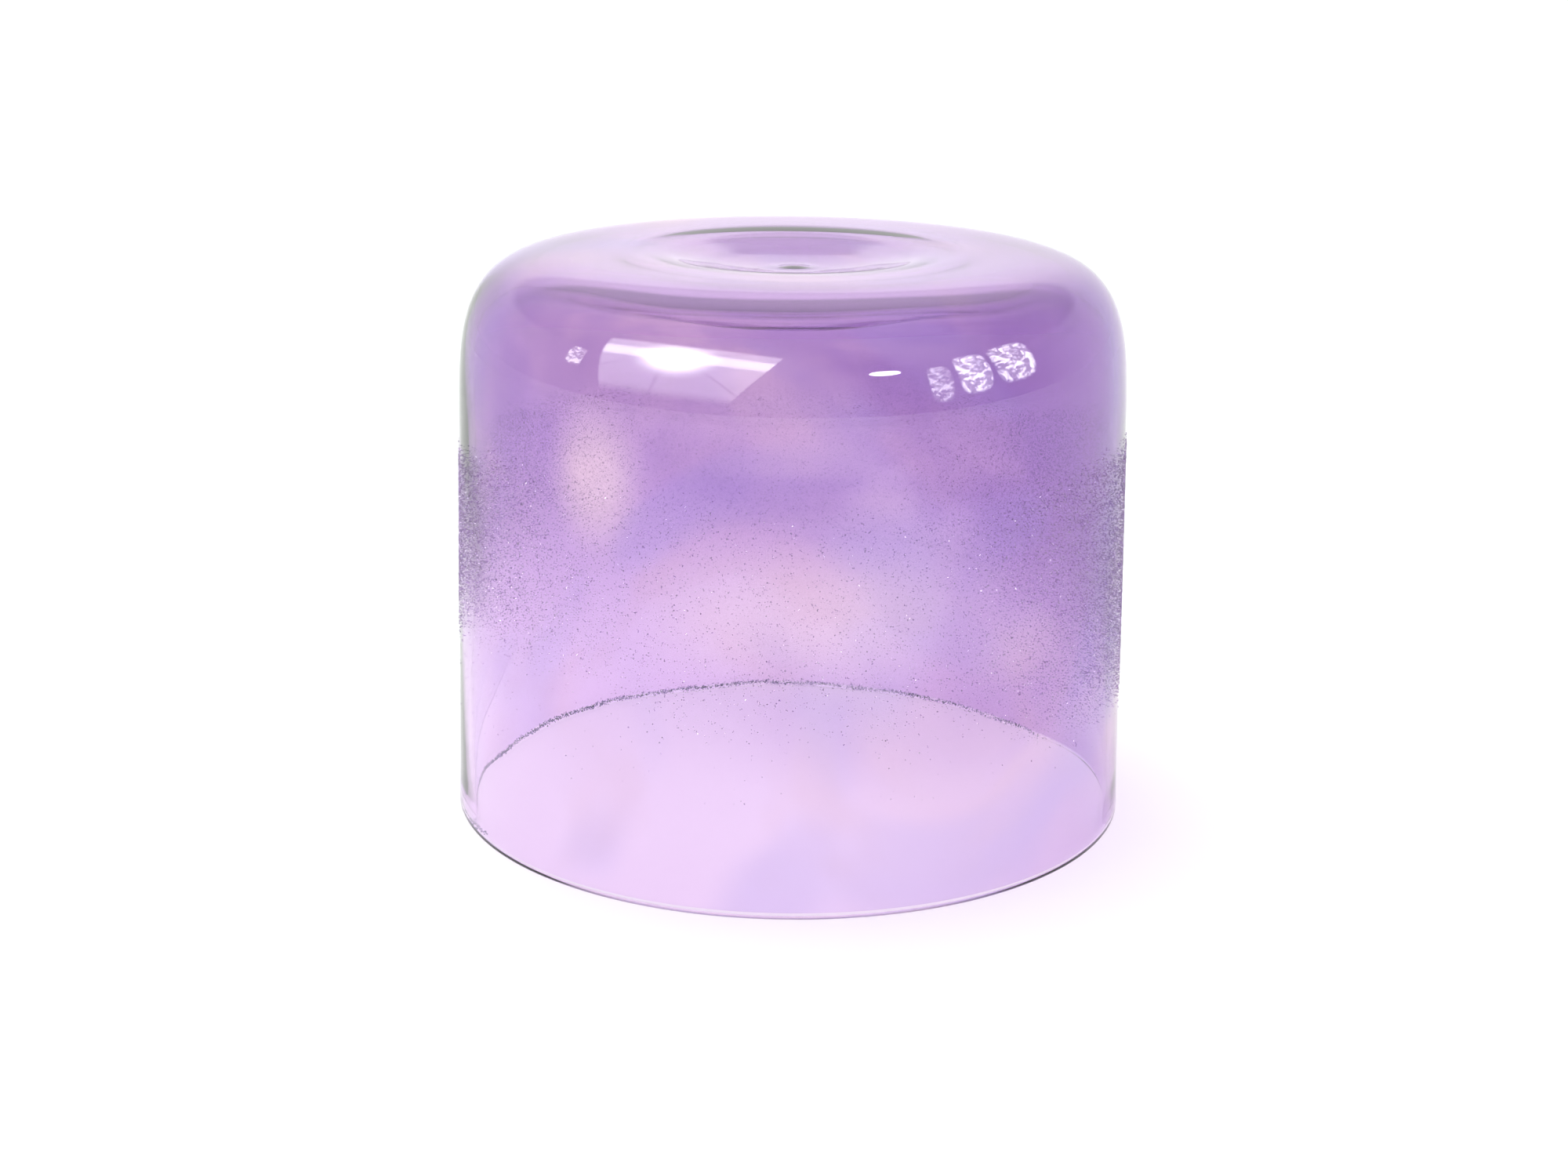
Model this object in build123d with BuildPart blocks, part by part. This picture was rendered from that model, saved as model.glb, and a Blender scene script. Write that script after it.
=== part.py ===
# Crystal singing bowl, standing mouth down on its rim.
# Millimetres. Origin at the centre of the circle that the rim rests on, +Z up through the crown.
from build123d import *
from math import cos, pi, sin
import os

os.makedirs("parts", exist_ok=True)

# Driving dimensions
rim_radius = 100.0          # outside of the wall at the rim
crown_height = 165.6        # highest ring of the crown above the rim
shoulder_start = 115.0      # height where the straight wall ends
shoulder_radius = 97.6      # outside of the wall at that height
crown_radius = 55.0         # highest ring, where the shoulder runs out and the dished crown begins
outside_powers = (3.76, 3.76)   # squareness of the shoulder's superellipse, up and across
inside_powers = (3.76, 3.7)     # a little rounder inside, so the glass thickens towards the crown
wall = 4.2                  # thickness of the wall
crown_wall = 5.6            # thickness of the crown
rim_rounding = 1.5          # leaves a narrow flat ring for the bowl to stand on
dish_depth = 5.4            # how far the middle of the crown lies below its highest ring
dish_edge = 43.0            # the dish is steepest between this radius
dish_floor = 9.0            # and this one
step_share = 0.75           # share of the depth that falls between the two
pip_radius = 3.0            # low nub at the centre of the crown
pip_height = 0.6
lining = 0.25               # thickness of the coloured coat
lining_start = 1.7          # the coat begins just above the rim's rounding
grain_bottom = 40.0         # the crust of grains reaches from here to the end of the straight wall
grain_thickness = 0.6
grain_edge = 0.15           # thickness left at both edges of the crust
grain_feather = 9.0         # height over which it thins out
grit_height = 2.0           # a line of coarse grains runs along the lower edge of the coat
grit_thickness = 0.3        # where it stands furthest off the coat
grit_edge = 0.1             # thickness left at its upper and lower edges

taper = (rim_radius - shoulder_radius) / shoulder_start
crown_middle = crown_height - dish_depth    # height of the crown's surface on the axis


def wall_radius(height):
    """Outside radius of the straight, slightly tapered wall."""
    return rim_radius - taper * height


def shoulder_points(inset, top_inset, steps=8):
    """Superellipse from the top of the straight wall to the edge of the crown, moved inwards."""
    reach = shoulder_radius - crown_radius
    rise = crown_height - shoulder_start - top_inset
    up, across = inside_powers if inset else outside_powers
    angles = [pi / 2 * step / steps for step in range(steps + 1)]
    return [
        (
            crown_radius + (reach - inset) * cos(angle) ** (2 / across),
            shoulder_start + rise * abs(sin(angle)) ** (2 / up),
        )
        for angle in angles[:-1]
    ] + [(crown_radius, crown_height - top_inset)]


def crown_dip(radius):
    """Depth below the highest ring: a raised cosine dish, made steeper between edge and floor."""
    smooth = (1 + cos(pi * radius / crown_radius)) / 2
    climb = min(max((radius - dish_floor) / (dish_edge - dish_floor), 0), 1)
    step = 1 - climb**2 * (3 - 2 * climb)
    return dish_depth * ((1 - step_share) * smooth + step_share * step)


def crown_points(inset, steps=11):
    """From the highest ring to the axis."""
    radii = [crown_radius * (1 - step / steps) for step in range(1, steps + 1)]
    return [(radius, crown_height - inset - crown_dip(radius)) for radius in radii]


def half_profile(inset, top_inset, start):
    """Curve from a height on the wall, over the shoulder and the crown, to the axis."""
    shoulder = shoulder_points(inset, top_inset)
    crown = crown_points(top_inset)
    Line((wall_radius(start) - inset, start), shoulder[0])
    Spline(*shoulder, tangents=[(-taper, 1), (-1, 0)])
    Spline(shoulder[-1], *crown, tangents=[(-1, 0), (-1, 0)])


with BuildPart() as quartz_body:
    with BuildSketch(Plane.XZ):
        with BuildLine():
            half_profile(0, 0, 0)
            half_profile(wall, crown_wall, 0)
            Line((wall_radius(0) - wall, 0), (wall_radius(0), 0))
            Line((0, crown_middle - crown_wall), (0, crown_middle))
        make_face()
    revolve(axis=Axis.Z)
    # the rim is fire-polished to a rounded edge
    fillet(quartz_body.edges().group_by(Axis.Z)[0], rim_rounding)
    # the nub at the centre grows out of the crown's thickness
    with BuildSketch(Plane.XY.offset(crown_middle - crown_wall / 2)):
        Circle(pip_radius)
    pip = extrude(amount=crown_wall / 2 + pip_height)
    fillet(pip.edges().group_by(Axis.Z)[-1], pip_height * 0.6)
quartz_body.part.label = "quartz_body"
export_step(quartz_body.part, "parts/quartz_body.step")

with BuildPart() as violet_lining:
    with BuildSketch(Plane.XZ):
        with BuildLine():
            half_profile(wall, crown_wall, lining_start)
            half_profile(wall + lining, crown_wall + lining, lining_start)
            coat_edge = wall_radius(lining_start) - wall
            Line((coat_edge, lining_start), (coat_edge - lining, lining_start))
            Line((0, crown_middle - crown_wall), (0, crown_middle - crown_wall - lining))
        make_face()
    revolve(axis=Axis.Z)
violet_lining.part.label = "violet_lining"
export_step(violet_lining.part, "parts/violet_lining.step")

# The crust of sintered quartz grains on the outside of the wall, thinning out at both edges.
with BuildPart() as grain_band:
    with BuildSketch(Plane.XZ):
        with BuildLine():
            full_bottom = grain_bottom + grain_feather
            full_top = shoulder_start - grain_feather
            Polyline(
                (wall_radius(grain_bottom), grain_bottom),
                (wall_radius(grain_bottom) + grain_edge, grain_bottom),
                (wall_radius(full_bottom) + grain_thickness, full_bottom),
                (wall_radius(full_top) + grain_thickness, full_top),
                (wall_radius(shoulder_start) + grain_edge, shoulder_start),
                (wall_radius(shoulder_start), shoulder_start),
                close=True,
            )
        make_face()
    revolve(axis=Axis.Z)
grain_band.part.label = "grain_band"
export_step(grain_band.part, "parts/grain_band.step")

# The line of coarse grains inside the mouth, on the lower edge of the coat.
with BuildPart() as rim_grit:
    with BuildSketch(Plane.XZ):
        with BuildLine():
            grit_top = lining_start + grit_height
            grit_middle = lining_start + grit_height / 2
            coated = wall + lining
            Polyline(
                (wall_radius(lining_start) - coated, lining_start),
                (wall_radius(grit_top) - coated, grit_top),
                (wall_radius(grit_top) - coated - grit_edge, grit_top),
                (wall_radius(grit_middle) - coated - grit_thickness, grit_middle),
                (wall_radius(lining_start) - coated - grit_edge, lining_start),
                close=True,
            )
        make_face()
    revolve(axis=Axis.Z)
rim_grit.part.label = "rim_grit"
export_step(rim_grit.part, "parts/rim_grit.step")
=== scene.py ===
import math

import bpy
import numpy as np
from mathutils import Matrix, Vector


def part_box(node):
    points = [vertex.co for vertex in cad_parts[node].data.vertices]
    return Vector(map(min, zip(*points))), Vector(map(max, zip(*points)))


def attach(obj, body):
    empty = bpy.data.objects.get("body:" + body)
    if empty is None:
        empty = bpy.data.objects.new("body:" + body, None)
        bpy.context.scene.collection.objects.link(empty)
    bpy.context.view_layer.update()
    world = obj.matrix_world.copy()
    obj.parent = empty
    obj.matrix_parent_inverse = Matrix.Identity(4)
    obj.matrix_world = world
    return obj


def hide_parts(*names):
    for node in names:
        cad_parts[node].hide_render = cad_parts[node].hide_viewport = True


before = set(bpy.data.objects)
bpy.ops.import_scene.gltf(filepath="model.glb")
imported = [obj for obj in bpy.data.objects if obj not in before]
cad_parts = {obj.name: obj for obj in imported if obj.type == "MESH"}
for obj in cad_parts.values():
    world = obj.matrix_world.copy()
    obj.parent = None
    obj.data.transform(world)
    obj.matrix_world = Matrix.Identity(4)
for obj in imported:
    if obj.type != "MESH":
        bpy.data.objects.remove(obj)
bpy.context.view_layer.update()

rng = np.random.default_rng(8)

# the bowl's own sizes in metres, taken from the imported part's boxes where those give them
quartzLow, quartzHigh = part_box("quartz_body")
coatLow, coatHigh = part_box("violet_lining")
crustLow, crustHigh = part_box("grain_band")
gritLow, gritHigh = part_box("rim_grit")

bowl = {
    "rimRadius": quartzHigh.x,
    "height": quartzHigh.z,
    "shoulderStart": crustHigh.z,
    "shoulderRadius": quartzHigh.x - 0.0024,
    "crownRadius": 0.055,
    "outsidePowers": (3.76, 3.76),
    "insidePowers": (3.76, 3.7),
    "wall": quartzHigh.x - coatHigh.x,
    "crownWall": 0.0056,
    "rimRounding": 0.0015,
    "dishDepth": 0.0054,
    "dishEdge": 0.047,
    "dishFloor": 0.009,
    "stepShare": 0.75,
    "pipRadius": 0.0030,
    "pipHeight": 0.0004,
    "segments": 320,
}
taper = (bowl["rimRadius"] - bowl["shoulderRadius"]) / bowl["shoulderStart"]


# radius of the wall's straight line at a height: rim radius less taper times height
def wallRadius(z):
    return bowl["rimRadius"] - taper * z


# the wall and shoulder at a height, moved inwards by inset and down by drop: outside the crown's
# radius, the straight wall's reach times a superellipse that falls to nothing at the top; the
# powers for up and across differ inside, so that the glass is thickest where the crown ends
def sideRadius(z, inset, drop):
    start = bowl["shoulderStart"]
    up, across = bowl["insidePowers" if inset > 0.001 else "outsidePowers"]
    climb = np.clip((z - start) / (bowl["height"] - drop - start), 0, 1)
    reach = wallRadius(z) - inset - bowl["crownRadius"]
    return bowl["crownRadius"] + reach * (1 - climb**up) ** (1 / across)


# points of a polyline moved to even steps along its length
def evenly(points, count):
    steps = np.r_[0, np.cumsum(np.hypot(*np.diff(points, axis=0).T))]
    wanted = np.linspace(0, steps[-1], count)
    return np.c_[np.interp(wanted, steps, points[:, 0]), np.interp(wanted, steps, points[:, 1])]


ripples = {
    "outer": [(0.00004, 0.0118, 0.4), (0.00001, 0.0061, 2.1)],
    "inner": [(0.00003, 0.0142, 1.7)],
    "reach": 0.070,
    "middle": 0.006,
}


# height of the crown at a radius: a raised cosine dish, steeper between its edge and its floor,
# with rings made of a few sine waves that fade out towards the shoulder and the middle
def crownHeight(r, drop, rings, pip):
    inside = np.clip(r / bowl["crownRadius"], 0, 1)
    step = np.clip((r - bowl["dishFloor"]) / (bowl["dishEdge"] - bowl["dishFloor"]), 0, 1)
    share = bowl["stepShare"]
    dish = (1 + np.cos(np.pi * inside)) / 2 * (1 - share) + (1 - step**2 * (3 - 2 * step)) * share
    z = bowl["height"] - drop - bowl["dishDepth"] * dish
    fade = np.clip(1 - (r / ripples["reach"]) ** 4, 0, 1) * np.clip(r / ripples["middle"], 0, 1)
    for height, length, shift in ripples[rings]:
        z = z + fade * height * (np.sin(2 * np.pi * r / length + shift) - 1)
    return z + pip * bowl["pipHeight"] * np.exp(-((r / bowl["pipRadius"]) ** 4))


# half outline from the axis over the crown and shoulder and down the wall to a height
def halfOutline(inset, drop, rings, pip, stop, count):
    crown = np.linspace(0, bowl["crownRadius"], 900)
    angle = np.linspace(0, 1, 2500)[1:] ** 2
    top = bowl["height"] - drop
    z = top - (top - stop) * angle
    side = sideRadius(z, inset, drop)
    ringed = np.clip((ripples["reach"] - side) / (ripples["reach"] - bowl["crownRadius"]), 0, 1)
    edge = crownHeight(np.full_like(side, bowl["crownRadius"]), drop, rings, 0) - top
    z = z + edge * ringed**2 * (3 - 2 * ringed)
    points = np.r_[np.c_[crown, crownHeight(crown, drop, rings, pip)], np.c_[side, z]]
    return evenly(points, count)


# the rim's section: two quarter circles with a narrow flat between them, from outside to inside
def rimOutline(count):
    radius, outer = bowl["rimRounding"], wallRadius(0.0)
    turn = np.linspace(0, np.pi / 2, count)
    outside = np.c_[outer - radius + radius * np.cos(turn), radius - radius * np.sin(turn)]
    inner = outer - bowl["wall"]
    inside = np.c_[inner + radius - radius * np.sin(turn), radius - radius * np.cos(turn)]
    return np.r_[outside, inside]


waves = {
    "outer": [(0.00007, 2, 1.3, 18), (0.00004, 5, 4.0, 31), (0.00002, 9, 0.6, 47)],
    "inner": [(0.00016, 3, 0.5, 14), (0.00009, 7, 2.2, 36), (0.00004, 13, 5.1, 60)],
    "inset": {"outer": 0.0003, "inner": 0},
    "crownFade": 0.08,
    "rimFade": 0.012,
}


# how far a hand-worked wall stands off its true circle: a few waves round the axis that lean with
# height, fading out over the crown and at the rim
def waver(angle, r, z, side):
    off = np.zeros(np.broadcast(angle, z).shape)
    for height, times, shift, lean in waves[side]:
        off = off + height * np.sin(times * angle + shift + lean * z)
    crown, rim = np.clip(r / waves["crownFade"], 0, 1), np.clip(z / waves["rimFade"], 0, 1)
    return (off - waves["inset"][side]) * crown**3 * rim


# a mesh from points and faces given as arrays
def makeMesh(name, points, faces, smooth=True):
    mesh = bpy.data.meshes.new(name)
    sizes = np.array([len(f) for f in faces])
    corners = np.concatenate([f.ravel() for f in faces])
    counts = np.concatenate([np.full(len(f), f.shape[1]) for f in faces])
    mesh.vertices.add(len(points))
    mesh.vertices.foreach_set("co", points.astype(np.float32).ravel())
    mesh.loops.add(len(corners))
    mesh.loops.foreach_set("vertex_index", corners.astype(np.int32))
    mesh.polygons.add(int(sizes.sum()))
    mesh.polygons.foreach_set("loop_start", np.r_[0, np.cumsum(counts)[:-1]].astype(np.int32))
    mesh.polygons.foreach_set("use_smooth", np.full(int(sizes.sum()), smooth))
    mesh.update(calc_edges=True)
    mesh.validate()
    piece = bpy.data.objects.new(name, mesh)
    bpy.context.scene.collection.objects.link(piece)
    return piece


# a surface of revolution: the outline's point i at angle a is (r cos a, r sin a, z), with one
# point where the outline meets the axis at either end
def turned(name, outline, sides):
    count, segments = len(outline), bowl["segments"]
    angle = np.linspace(0, 2 * np.pi, segments, endpoint=False)[None, :]
    r, z = outline[1:-1, :1], outline[1:-1, 1:]
    off = np.concatenate([waver(angle, r[rows], z[rows], side) for side, rows in sides.items()])
    r = r + off
    z = np.broadcast_to(z, r.shape)
    rings = np.stack([r * np.cos(angle), r * np.sin(angle), z], axis=-1).reshape(-1, 3)
    top, bottom = [0, 0, outline[0, 1]], [0, 0, outline[-1, 1]]
    points = np.vstack([top, rings, bottom])
    near = np.arange(segments)
    far = (near + 1) % segments
    last = 1 + (count - 3) * segments
    row = 1 + np.arange(count - 3)[:, None] * segments
    quads = np.stack([row + near, row + segments + near, row + segments + far, row + far], axis=-1)
    fans = [
        np.stack([np.zeros_like(near), 1 + near, 1 + far], axis=-1),
        np.stack([np.full_like(near, len(points) - 1), last + far, last + near], axis=-1),
    ]
    return makeMesh(name, points, [fans[0], quads.reshape(-1, 4), fans[1]])


# how many points stand along each part of the shell's outline
shell = {"outerPoints": 150, "rimPoints": 8, "innerPoints": 130}


def quartzShell():
    stop = bowl["rimRounding"]
    outer = halfOutline(0, 0, "outer", 1, stop, shell["outerPoints"])
    inner = halfOutline(bowl["wall"], bowl["crownWall"], "inner", 0, stop, shell["innerPoints"])
    outline = np.r_[outer[:-1], rimOutline(shell["rimPoints"]), inner[::-1][1:]]
    split = len(outer) - 1 + shell["rimPoints"]
    total = len(outline) - 2
    return turned("quartzShell", outline, {"outer": slice(0, split), "inner": slice(split, total)})


# the coat lies under the skin of the inner wall, so that light mirrored there is tinted too
coat = {"under": 0.0020, "thickness": 0.00006, "points": 130}


def violetCoat():
    near, far = -coat["under"], coat["thickness"] - coat["under"]
    wall, crown, start = bowl["wall"], bowl["crownWall"], coatLow.z
    outer = halfOutline(wall + near, crown + near, "inner", 0, start, coat["points"])
    inner = halfOutline(wall + far, crown + far, "inner", 0, start, coat["points"])
    outline = np.r_[outer, inner[::-1]]
    return turned("violetCoat", outline, {"inner": slice(0, len(outline) - 2)})


quartzPiece = quartzShell()
coatPiece = violetCoat()
print("stage: quartz shell and coat", len(quartzPiece.data.polygons), len(coatPiece.data.polygons))

# points and faces of an octahedron, the faces' corners turned so that they look outwards
lumpPoints = np.array([(1, 0, 0), (0, 1, 0), (-1, 0, 0), (0, -1, 0), (0, 0, 1), (0, 0, -1)], float)
lumpFaces = np.array([(i, (i + 1) % 4, 4) for i in range(4)] + [((i + 1) % 4, i, 5) for i in range(4)])


# lumps of quartz: an octahedron with its points pushed in and out at random, stretched, and
# turned by a random quaternion's matrix
def lumps(name, centres, sizes):
    count, corners = len(centres), len(lumpPoints)
    shape = lumpPoints[None] * rng.uniform(0.75, 1.25, (count, corners, 1))
    shape = shape * rng.uniform(0.75, 1.25, (count, 1, 3))
    q = rng.normal(size=(count, 4))
    w, x, y, z = (q / np.linalg.norm(q, axis=1, keepdims=True)).T
    turn = np.array([
        [1 - 2 * (y * y + z * z), 2 * (x * y - z * w), 2 * (x * z + y * w)],
        [2 * (x * y + z * w), 1 - 2 * (x * x + z * z), 2 * (y * z - x * w)],
        [2 * (x * z - y * w), 2 * (y * z + x * w), 1 - 2 * (x * x + y * y)],
    ])
    shape = np.einsum("ijn,nkj->nki", turn, shape) * sizes[:, None, None] + centres[:, None]
    faces = lumpFaces[None] + corners * np.arange(count)[:, None, None]
    return makeMesh(name, shape.reshape(-1, 3), [faces.reshape(-1, 3)], smooth=False)


crust = {
    "grains": 66000,
    "perPiece": 22000,
    "smallest": 0.00010,
    "largest": 0.00028,
    "sunk": 0.25,
    "fadeTop": 0.007,
    "fadeBottom": 0.024,
    "strayShare": 0.03,
    "between": 0.24,
    "lowEdge": 0.044,
    "lean": 0.011,
}


# places on the wall for the crust: heights drawn between an upper edge and a lower edge that
# wanders round the bowl, thinning towards both by keeping a share of the draws, and thickest on
# two opposite sides
def crustPlaces():
    angle = rng.uniform(0, 2 * np.pi, crust["grains"] * 9)
    z = rng.uniform(crustLow.z - 0.008, crustHigh.z + 0.004, len(angle))
    lowEdge = crust["lowEdge"] - crust["lean"] * np.cos(angle - 0.2)
    lowEdge = lowEdge + 0.003 * np.sin(5 * angle + 1) + 0.002 * np.sin(11 * angle)
    highEdge = crustHigh.z + 0.001 + 0.003 * np.sin(3 * angle + 2) + 0.002 * np.sin(7 * angle)
    rise = np.clip((z - lowEdge) / crust["fadeBottom"], 0, 1)
    fall = np.clip((highEdge - z) / crust["fadeTop"], 0, 1)
    sides = np.clip((np.abs(np.cos(angle)) - 0.35) / 0.50, 0, 1)
    share = rise**2 * (3 - 2 * rise) * fall**1.5 * (crust["between"] + (1 - crust["between"]) * sides**1.5)
    share = share + crust["strayShare"] * (z > 0.03) * (z < highEdge) * 0.4
    kept = rng.uniform(0, 1, len(angle)) < share
    return angle[kept][: crust["grains"]], z[kept][: crust["grains"]]


grainAngle, grainZ = crustPlaces()
grainSize = crust["smallest"] + (crust["largest"] - crust["smallest"]) * rng.beta(1.6, 3.0, len(grainAngle))
wallAt = sideRadius(grainZ, 0, 0)
grainR = wallAt + waver(grainAngle, wallAt, grainZ, "outer") + grainSize * (1 - 2 * crust["sunk"])
grainPlaces = np.c_[grainR * np.cos(grainAngle), grainR * np.sin(grainAngle), grainZ]
crustPieces = []
for first in range(0, len(grainPlaces), crust["perPiece"]):
    part = slice(first, first + crust["perPiece"])
    letter = "abcdefgh"[first // crust["perPiece"]]
    crustPieces.append(lumps("crustGrains_" + letter, grainPlaces[part], grainSize[part]))
print("stage: crust", len(grainPlaces), "grains in", len(crustPieces), "pieces")

grit = {"grains": 3000, "smallest": 0.00009, "largest": 0.00030}


# grains in a line round the inside of the mouth, nearly all of them along its far half
def gritPlaces():
    angle = rng.uniform(0, 2 * np.pi, grit["grains"] * 4)
    patches = 0.2 * np.sin(9 * angle + 2) * np.sin(4 * angle) * (angle < 3.3)
    share = np.clip(np.sin(angle - 0.5), 0, 1) ** 0.6 + patches
    angle = angle[rng.uniform(0, 1, len(angle)) < share][: grit["grains"]]
    z = gritLow.z + rng.normal(0, 0.0004, len(angle)) + 0.0002 * np.sin(angle * 23)
    return angle, np.clip(z, gritLow.z - 0.001, gritHigh.z)


gritAngle, gritZ = gritPlaces()
gritSize = rng.uniform(grit["smallest"], grit["largest"], len(gritAngle))
gritR = wallRadius(gritZ) - bowl["wall"] - gritSize * 0.3
gritPiece = lumps("rimGrit", np.c_[gritR * np.cos(gritAngle), gritR * np.sin(gritAngle), gritZ], gritSize)
print("stage: rim grit", len(gritAngle), "grains")


# a socket that takes part in Python sums: each operator adds one Math node
class Wire:
    def __init__(self, maker, socket):
        self.maker, self.socket = maker, socket

    def math(self, operation, *others, clamp=False):
        inputs = dict(enumerate((self,) + others))
        return self.maker.add("ShaderNodeMath", {"operation": operation, "use_clamp": clamp}, inputs)

    def __add__(self, other):
        return self.math("ADD", other)

    def __radd__(self, other):
        return self.math("ADD", other)

    def __sub__(self, other):
        return self.math("SUBTRACT", other)

    def __rsub__(self, other):
        return self.maker.add("ShaderNodeMath", {"operation": "SUBTRACT"}, {0: other, 1: self})

    def __mul__(self, other):
        return self.math("MULTIPLY", other)

    def __rmul__(self, other):
        return self.math("MULTIPLY", other)

    def __pow__(self, other):
        return self.math("POWER", other)

    # 0 below low, 1 above high, and a smooth rise between
    def rise(self, low, high):
        return self.maker.add(
            "ShaderNodeMapRange",
            {"interpolation_type": "SMOOTHSTEP", "clamp": True},
            {"Value": self, "From Min": low, "From Max": high},
        )

    def clamped(self):
        return self.math("ADD", 0.0, clamp=True)


# builds one node tree: add() takes a node's type, its settings, and its sockets' values or links
class Maker:
    def __init__(self, owner):
        owner.use_nodes = True
        self.tree = owner.node_tree
        self.tree.nodes.clear()

    def add(self, kind, settings=None, inputs=None, out=0):
        node = self.tree.nodes.new(kind)
        for key, value in (settings or {}).items():
            setattr(node, key, value)
        for key, value in (inputs or {}).items():
            if isinstance(value, Wire):
                self.tree.links.new(value.socket, node.inputs[key])
            else:
                node.inputs[key].default_value = value
        return Wire(self, node.outputs[out])

    def noise(self, coords, scale, detail=2.0, rough=0.5, distortion=0.0):
        inputs = {"Vector": coords, "Scale": scale, "Detail": detail, "Roughness": rough}
        inputs["Distortion"] = distortion
        return self.add("ShaderNodeTexNoise", {"noise_dimensions": "3D"}, inputs)

    def coords(self):
        return self.add("ShaderNodeTexCoord", out="Object")

    def split(self, vector, axis):
        return self.add("ShaderNodeSeparateXYZ", {}, {0: vector}, out=axis)

    def mixColour(self, factor, first, second):
        node = self.tree.nodes.new("ShaderNodeMix")
        node.data_type = "RGBA"
        for name, value in (("Factor_Float", factor), ("A_Color", first), ("B_Color", second)):
            socket = next(s for s in node.inputs if s.identifier == name)
            if isinstance(value, Wire):
                self.tree.links.new(value.socket, socket)
            else:
                socket.default_value = value
        return Wire(self, next(s for s in node.outputs if s.identifier == "Result_Color"))

    def mixShader(self, factor, first, second):
        return self.add("ShaderNodeMixShader", {}, {0: factor, 1: first, 2: second})

    # glass for what is seen, and a plain tint for lamps and for light scattered off the floor
    def letLightIn(self, glass, tint):
        clear = self.add("ShaderNodeBsdfTransparent", {}, {"Color": tint})
        lamps = self.mixShader(self.add("ShaderNodeLightPath", out="Is Shadow Ray"), glass, clear)
        return self.mixShader(self.add("ShaderNodeLightPath", out="Is Diffuse Ray"), lamps, clear)

    # the tree's output node, which has no output of its own, so add() can't make it
    def finish(self, surface, kind="ShaderNodeOutputMaterial"):
        node = self.tree.nodes.new(kind)
        self.tree.links.new(surface.socket, node.inputs["Surface"])


# a soft blob on a piece: 1 at a place in metres, 0 beyond a stretched distance from it
def blob(maker, coords, place, size):
    moved = maker.add("ShaderNodeVectorMath", {"operation": "SUBTRACT"}, {0: coords, 1: place})
    scaled = maker.add("ShaderNodeVectorMath", {"operation": "DIVIDE"}, {0: moved, 1: size})
    length = maker.add("ShaderNodeVectorMath", {"operation": "LENGTH"}, {0: scaled}, out="Value")
    return 1 - length.rise(0.2, 1.0)


quartzLook = {
    "tint": (0.915, 0.850, 0.945, 1),
    "milk": (0.935, 0.875, 0.960, 1),
    "shadowTint": (0.985, 0.97, 0.99, 1),
    "index": 1.46,
    "hazeRoughness": 0.10,
    "waviness": 0.00004,
}


def quartzMaterial():
    material = bpy.data.materials.new("clearQuartz")
    maker = Maker(material)
    coords = maker.coords()
    height = maker.split(coords, "Z")
    low, high = crustLow.z, crustHigh.z
    band = height.rise(low + 0.012, low + 0.040) * (1 - height.rise(high - 0.012, high))
    frost = band * maker.noise(coords, 90, 4, 0.6).rise(0.42, 0.62)
    swirl = maker.noise(coords, 22, 2, 0.4)
    bump = maker.add("ShaderNodeBump", {}, {
        "Strength": 0.6,
        "Distance": quartzLook["waviness"],
        "Height": swirl,
    })
    milk = maker.mixColour(maker.noise(coords, 14), quartzLook["tint"], quartzLook["milk"])
    glass = maker.add("ShaderNodeBsdfPrincipled", {}, {
        "Base Color": milk,
        "Roughness": frost * quartzLook["hazeRoughness"],
        "IOR": quartzLook["index"],
        "Transmission Weight": 1.0,
        "Normal": bump,
    })
    maker.finish(maker.letLightIn(glass, quartzLook["shadowTint"]))
    return material


coatLook = {
    "pale": (0.980, 0.925, 0.995, 1),
    "deep": (0.770, 0.665, 0.845, 1),
    "blue": (0.79, 0.77, 0.94, 1),
    "rose": (0.95, 0.87, 0.91, 1),
    # warm pale tint of the painted reflections
    "paintedReflection": (0.985, 0.945, 0.915, 1),
    "shadowTint": (0.94, 0.89, 0.955, 1),
    # paler patches, painted reflections of the room's warm light on the front: place, size and strength
    "patches": [
        ((-0.052, -0.081, 0.118), (0.018, 0.02, 0.026), 1.0),
        ((0.002, -0.092, 0.084), (0.055, 0.03, 0.026), 0.55),
        ((0.060, -0.072, 0.070), (0.020, 0.03, 0.016), 0.35),
    ],
    # deeper patches of painted shade on the front: a soft shadow low down and a painted reflection of the
    # dark room higher up
    "paintedShade": [
        ((0.035, -0.085, 0.060), (0.085, 0.06, 0.032), 0.34),
        ((0.006, -0.088, 0.130), (0.060, 0.06, 0.030), 0.34),
    ],
    "sheen": (0.86, 0.80, 1.0, 1),
    "sheenRoughness": 0.02,
    "gloss": 0.01,
    "deepens": (0.020, 0.135),
    "heightShare": 0.88,
    "rightShare": 0.48,
    "crownShare": 0.35,
}


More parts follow.
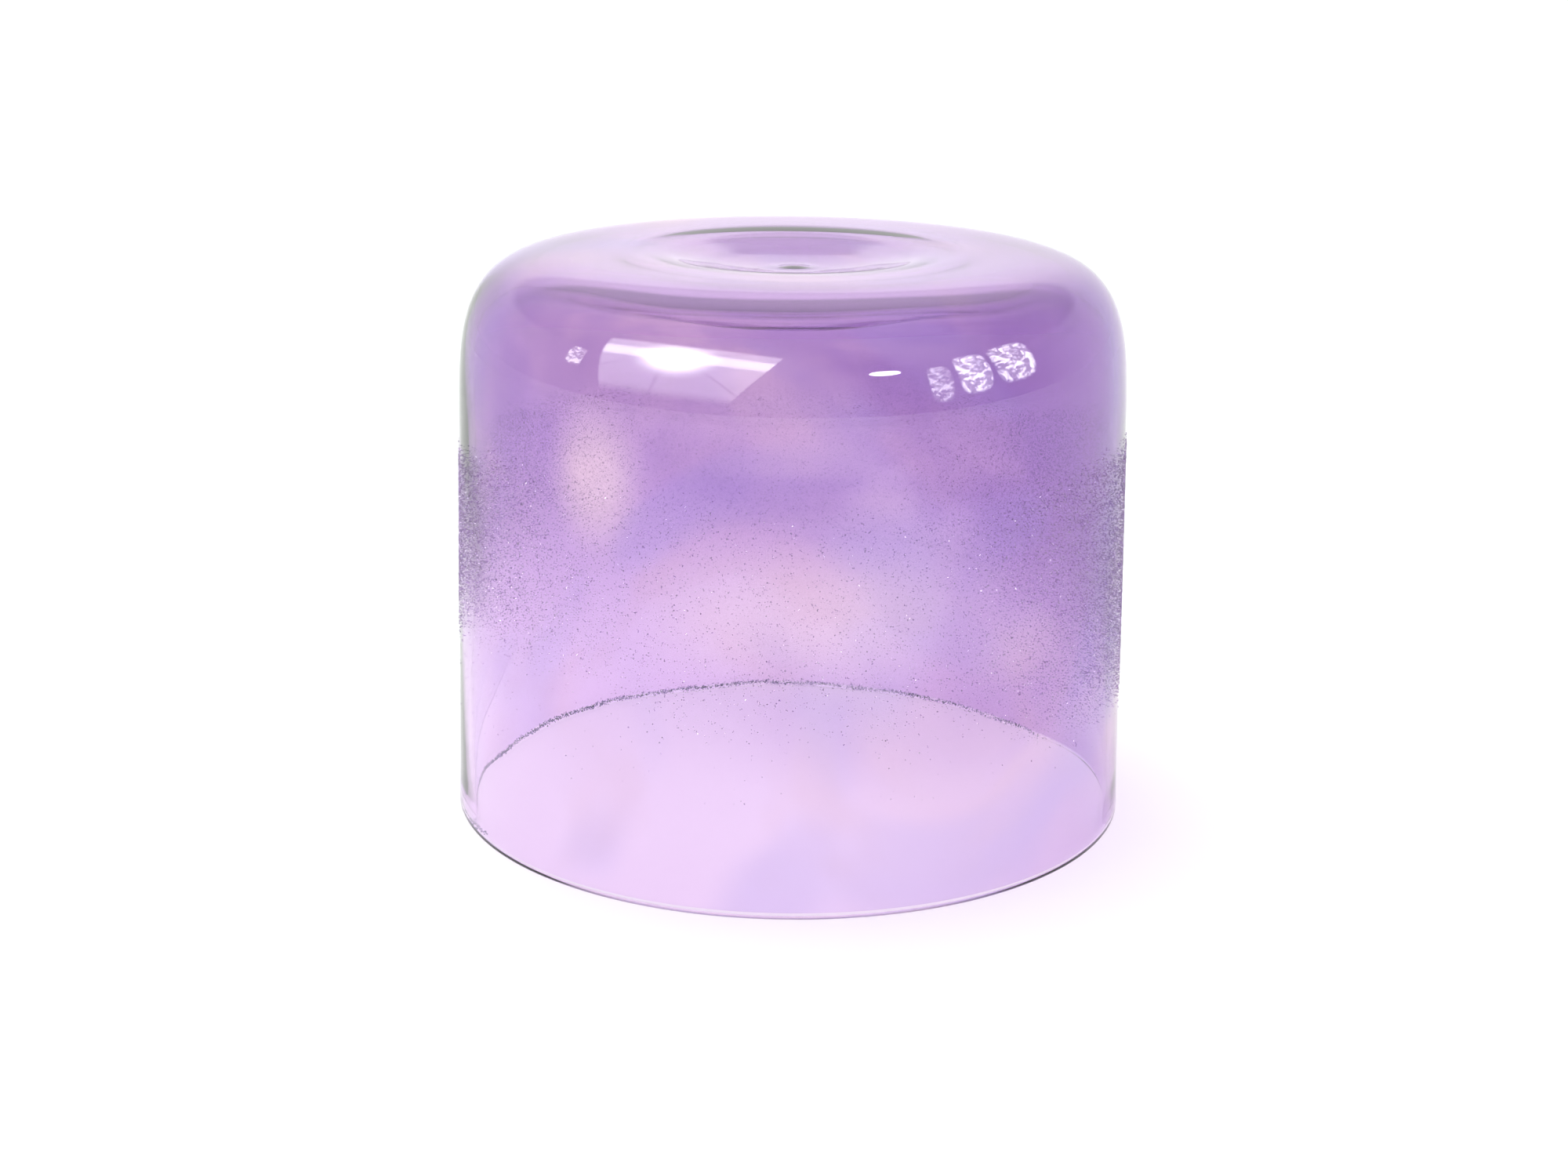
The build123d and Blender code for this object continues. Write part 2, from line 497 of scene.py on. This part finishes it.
def coatMaterial():
    material = bpy.data.materials.new("violetCoat")
    maker = Maker(material)
    coords = maker.coords()
    height = maker.split(coords, "Z")
    drift = maker.noise(coords, 9, 3, 0.55, 0.4)
    tints = {name: maker.add("ShaderNodeBsdfTransparent", {}, {"Color": coatLook[name]})
             for name in ("pale", "deep", "blue", "rose", "paintedReflection")}
    across, along = maker.split(coords, "X"), maker.split(coords, "Y")
    radius = (across * across + along * along) ** 0.5
    rightward = across.rise(0.01, 0.10)
    depth = (height + (drift - 0.5) * 0.05).rise(*coatLook["deepens"]) * coatLook["heightShare"]
    depth = depth + rightward * coatLook["rightShare"]
    # painted shade: darker blobs added to the coat's depth
    for place, size, strength in coatLook["paintedShade"]:
        depth = depth + blob(maker, coords, place, size) * strength
    crownShare = coatLook["crownShare"]
    depth = (depth * (crownShare + (1 - crownShare) * radius.rise(0.068, 0.095))).clamped()
    tint = maker.mixShader(depth, tints["pale"], tints["deep"])
    tint = maker.mixShader(maker.noise(coords, 13, 3, 0.5, 0.6).rise(0.50, 0.68) * 0.6, tint, tints["rose"])
    tint = maker.mixShader(maker.noise(coords, 10, 2, 0.5, 0.8).rise(0.52, 0.66) * 0.35, tint, tints["blue"])
    # painted reflections: paler, warmer blobs mixed into the coat's tint on the front
    for place, size, strength in coatLook["patches"]:
        tint = maker.mixShader(blob(maker, coords, place, size) * strength, tint, tints["paintedReflection"])
    mirror = maker.add("ShaderNodeBsdfGlossy", {}, {
        "Color": coatLook["sheen"],
        "Roughness": coatLook["sheenRoughness"],
    })
    skin = maker.mixShader(coatLook["gloss"], tint, mirror)
    maker.finish(maker.letLightIn(skin, coatLook["shadowTint"]))
    return material


grainLook = {
    "pale": (0.92, 0.86, 0.97, 1),
    "dark": (0.56, 0.42, 0.70, 1),
    "roughness": 0.04,
    "seeThrough": 0.06,
    "shadowTint": (0.9, 0.88, 0.92, 1),
}
gritLook = {"pale": (0.55, 0.50, 0.75, 1), "dark": (0.20, 0.18, 0.42, 1)}


def grainMaterial(name, pale, dark):
    material = bpy.data.materials.new(name)
    maker = Maker(material)
    coords = maker.coords()
    colour = maker.mixColour(maker.noise(coords, 700, 1).rise(0.4, 0.6), dark, pale)
    glass = maker.add("ShaderNodeBsdfPrincipled", {}, {
        "Base Color": colour,
        "Roughness": grainLook["roughness"],
        "IOR": quartzLook["index"],
        "Transmission Weight": 1.0,
    })
    clear = maker.add("ShaderNodeBsdfTransparent", {}, {"Color": (1, 1, 1, 1)})
    grain = maker.mixShader(grainLook["seeThrough"], glass, clear)
    maker.finish(maker.letLightIn(grain, grainLook["shadowTint"]))
    return material


quartzPiece.data.materials.append(quartzMaterial())
coatPiece.data.materials.append(coatMaterial())
grainFinish = grainMaterial("quartzGrain", grainLook["pale"], grainLook["dark"])
for piece in crustPieces:
    piece.data.materials.append(grainFinish)
gritPiece.data.materials.append(grainMaterial("rimGrain", gritLook["pale"], gritLook["dark"]))
print("stage: materials")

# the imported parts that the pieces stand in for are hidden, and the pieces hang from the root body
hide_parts("quartz_body")
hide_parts("violet_lining")
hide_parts("grain_band")
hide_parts("rim_grit")
for piece, slot in [(quartzPiece, "clear_quartz"), (coatPiece, "violet_coat"), (gritPiece, "quartz_grain")]:
    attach(piece, "root")
for piece in crustPieces:
    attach(piece, "root")

# elevation and roll of the camera, its distance from the point it looks at, and its lens
view = {
    "elevation": math.radians(16.51),
    "roll": 0.011,
    "distance": 0.7324,
    "aim": Vector((-0.0019, 0.0, 0.0636)),
    "lens": 56.07,
}


def addCamera():
    tilt, roll = view["elevation"], view["roll"]
    back = Vector((0, -math.cos(tilt), math.sin(tilt)))
    level = Vector((0, math.sin(tilt), math.cos(tilt)))
    right = Vector((1, 0, 0)) * math.cos(roll) + level * math.sin(roll)
    up = level * math.cos(roll) - Vector((1, 0, 0)) * math.sin(roll)
    data = bpy.data.cameras.new("camera")
    data.lens, data.sensor_width = view["lens"], 36.0
    data.clip_start, data.clip_end = 0.01, 100.0
    camera = bpy.data.objects.new("camera", data)
    turn = Matrix((right, up, back)).transposed().to_4x4()
    camera.matrix_world = Matrix.Translation(view["aim"] + back * view["distance"]) @ turn
    bpy.context.scene.collection.objects.link(camera)
    bpy.context.scene.camera = camera


addCamera()

# white paper under the bowl, a pale backdrop behind it and a dim room in front
studio = {
    "floorSize": 30.0,
    "floorColour": (0.93, 0.93, 0.93, 1),
    "behind": (1.15, 1.15, 1.15, 1),
    "room": (0.16, 0.19, 0.16, 1),
    "above": (0.36, 0.40, 0.36, 1),
    "skylight": 2.6,
    "skylightSpread": 50,
    "skylightFrom": (-0.20, 0.10, 1.0),
    "bounces": 24,
}


# a flat rectangle facing up, its corners half the width and half the height from its middle
def flatPiece(name, width, height):
    right, up = width / 2, height / 2
    corners = np.array([(-right, -up, 0), (right, -up, 0), (right, up, 0), (-right, up, 0)], float)
    return makeMesh(name, corners, [np.array([[0, 1, 2, 3]])], smooth=False)


def addFloor():
    floor = flatPiece("floor", studio["floorSize"], studio["floorSize"])
    material = bpy.data.materials.new("floorPaper")
    maker = Maker(material)
    maker.finish(maker.add("ShaderNodeBsdfDiffuse", {}, {"Color": studio["floorColour"]}))
    floor.data.materials.append(material)


def addWorld():
    world = bpy.data.worlds.new("studio")
    bpy.context.scene.world = world
    maker = Maker(world)
    direction = maker.add("ShaderNodeTexCoord", out="Generated")
    depth, height = maker.split(direction, "Y"), maker.split(direction, "Z")
    behind = depth.rise(-0.35, 0.55)
    low = 1 - height.rise(0.36, 0.44) * 0.52 - height.rise(0.50, 0.90) * 0.48
    room = maker.mixColour(height.rise(0.3, 0.8), studio["room"], studio["above"])
    colour = maker.mixColour(behind * low, room, studio["behind"])
    light = maker.add("ShaderNodeBackground", {}, {"Color": colour, "Strength": 1.0})
    maker.finish(light, "ShaderNodeOutputWorld")


# bright things in the room that the glass mirrors: azimuth from behind the bowl clockwise from
# above, elevation, distance, width and height, and the emission where the pattern is 1
cards = {
    "umbrella": {"azimuth": -141, "elevation": 24, "distance": 1.6, "size": (1.75, 1.20), "glow": 42},
    "lampRight": {"azimuth": 149, "elevation": 22, "distance": 1.8, "size": (0.35, 0.115), "glow": 40},
    "windowA": {"azimuth": 130, "elevation": 13, "distance": 2.0, "size": (0.32, 0.72), "glow": 13},
    "windowB": {"azimuth": 117, "elevation": 16, "distance": 2.0, "size": (0.46, 0.84), "glow": 24},
    "windowC": {"azimuth": 100, "elevation": 17, "distance": 2.0, "size": (0.62, 0.84), "glow": 21},
    "windowLeft": {"azimuth": -101, "elevation": 17, "distance": 2.0, "size": (0.26, 0.42), "glow": 14},
}


# the photographer's umbrella: a faint cloth, darker along its ribs, a bright band across it and a
# hot spot where the flash points; u and v run from -1 to 1 over the card
def umbrellaPattern(maker, coords, u, v):
    edge = u.rise(-1.0, -0.95) * (1 - (u + (1 - v) * (1 - v) * 0.09).rise(0.96, 1.0))
    edge = edge * v.rise(-1.0, -0.7) * (1 - v.rise(0.80, 0.96))
    halo = 1 - (((u + 0.09) * (u + 0.09) * 2.6 + (v - 0.28) * (v - 0.28) * 1.3) ** 0.5).rise(0.0, 1.0)
    band = 1 - ((v - 0.36) * (v - 0.36) * 16).rise(0.1, 1.0)
    turn = (v - 0.34).math("ARCTAN2", u + 0.09)
    ribs = 1 - (turn * 4 + 0.6).math("SINE").math("ABSOLUTE").rise(0.0, 0.14)
    cloth = 0.10 + v.rise(-0.9, 0.3) * 0.05
    return (edge * (cloth * (1 - ribs * 0.4) + band * 0.26 + halo**2 * 1.6)).clamped()


# a lamp's lens: an ellipse
def lensPattern(maker, coords, u, v):
    return 1 - (u * u + v * v).rise(0.75, 1.0)


# a window with branches outside: a soft rounded pane, broken up by noise
def windowPattern(maker, coords, u, v):
    pane = 1 - (u**2 * u**2 + v**2 * v**2).rise(0.35, 1.0)
    return pane * (0.15 + 0.85 * maker.noise(coords, 7, 4, 0.6, 1.2).rise(0.42, 0.60))


patterns = {"umbrella": umbrellaPattern, "lampRight": lensPattern}


# a card facing the bowl: clear where its pattern is 0, glowing where it is 1, and seen only in
# light mirrored by the outside, so that it lights neither the floor nor the view
def addCard(name, card):
    turn, lift = math.radians(card["azimuth"]), math.radians(card["elevation"])
    way = Vector((math.sin(turn) * math.cos(lift), math.cos(turn) * math.cos(lift), math.sin(lift)))
    width, height = card["size"]
    piece = flatPiece(name, width, height)
    piece.location = Vector((0, 0, 0.12)) + way * card["distance"]
    piece.rotation_euler = way.to_track_quat("Z", "Y").to_euler()
    material = bpy.data.materials.new(name)
    maker = Maker(material)
    coords = maker.coords()
    u, v = maker.split(coords, "X") * (2 / width), maker.split(coords, "Y") * (2 / height)
    level = patterns.get(name, windowPattern)(maker, coords, u, v)
    light = maker.add("ShaderNodeEmission", {}, {"Color": (1, 1, 1, 1), "Strength": card["glow"]})
    clear = maker.add("ShaderNodeBsdfTransparent", {}, {"Color": (1, 1, 1, 1)})
    maker.finish(maker.mixShader(level, clear, light))
    piece.data.materials.append(material)
    piece.visible_camera = piece.visible_diffuse = piece.visible_shadow = piece.visible_transmission = False


# broad even light from above, which lights the floor but isn't mirrored in the glass
def addSkylight():
    data = bpy.data.lights.new("skylight", "SUN")
    data.energy, data.angle = studio["skylight"], math.radians(studio["skylightSpread"])
    lamp = bpy.data.objects.new("skylight", data)
    lamp.rotation_euler = Vector(studio["skylightFrom"]).to_track_quat("Z", "Y").to_euler()
    lamp.visible_glossy = lamp.visible_transmission = lamp.visible_camera = False
    bpy.context.scene.collection.objects.link(lamp)


addFloor()
addWorld()
addSkylight()
for name, card in cards.items():
    addCard(name, card)
scene = bpy.context.scene
scene.view_settings.view_transform = "Standard"
scene.cycles.max_bounces = studio["bounces"]
scene.cycles.transmission_bounces = studio["bounces"]
scene.cycles.transparent_max_bounces = studio["bounces"]
print("stage: camera, lamps and floor")
